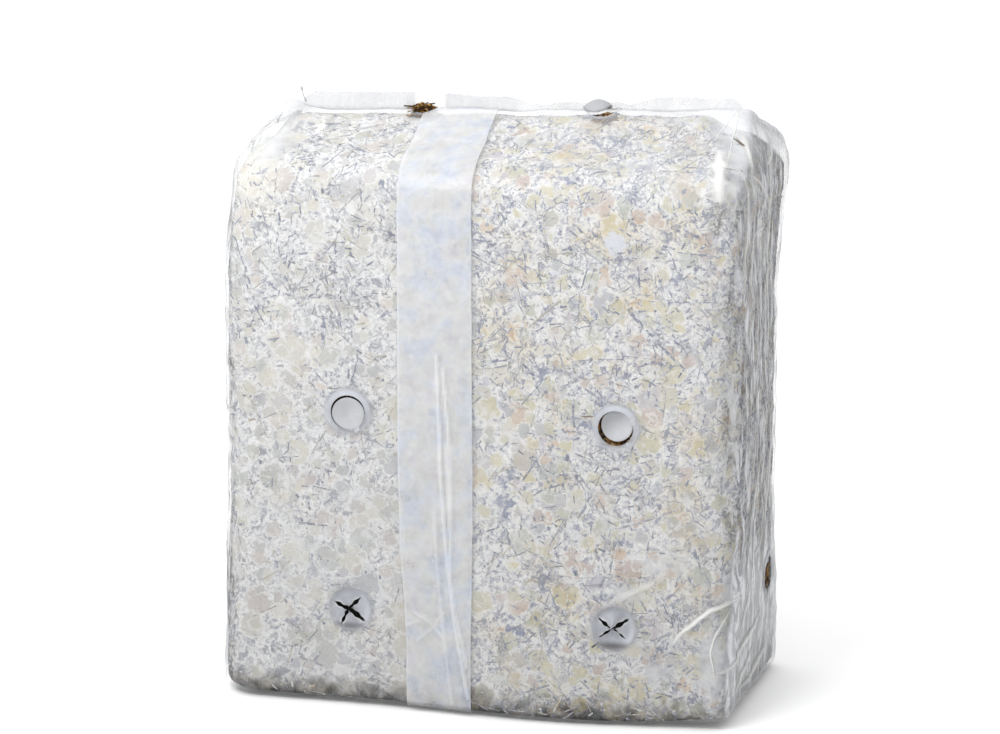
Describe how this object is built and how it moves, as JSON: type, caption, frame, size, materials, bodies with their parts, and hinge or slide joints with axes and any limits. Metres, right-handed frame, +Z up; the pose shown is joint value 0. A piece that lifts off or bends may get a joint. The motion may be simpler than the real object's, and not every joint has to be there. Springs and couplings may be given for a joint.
{
  "type": "oyster mushroom grow bag",
  "caption": "Tall block of straw bound by white mushroom mycelium, tightly wrapped in a clear film bag with a welded top fin, punched holes and X cuts for fruiting.",
  "frame": {"origin": "the middle of the bag's outline, on the surface that it stands on", "axes": "+Z up, -Y out of the broad front with the lap seam, +X to the right seen from the front"},
  "size_m": [0.4184, 0.204, 0.4747],
  "materials": {
    "straw_and_mycelium": "white felted mycelium over chopped straw, matte",
    "polyethylene_film": "thin clear film, glossy, milky where doubled"
  },
  "bodies": {
    "root": {"straw_block": "straw_and_mycelium", "bag_film": "polyethylene_film"}
  },
  "joints": []
}
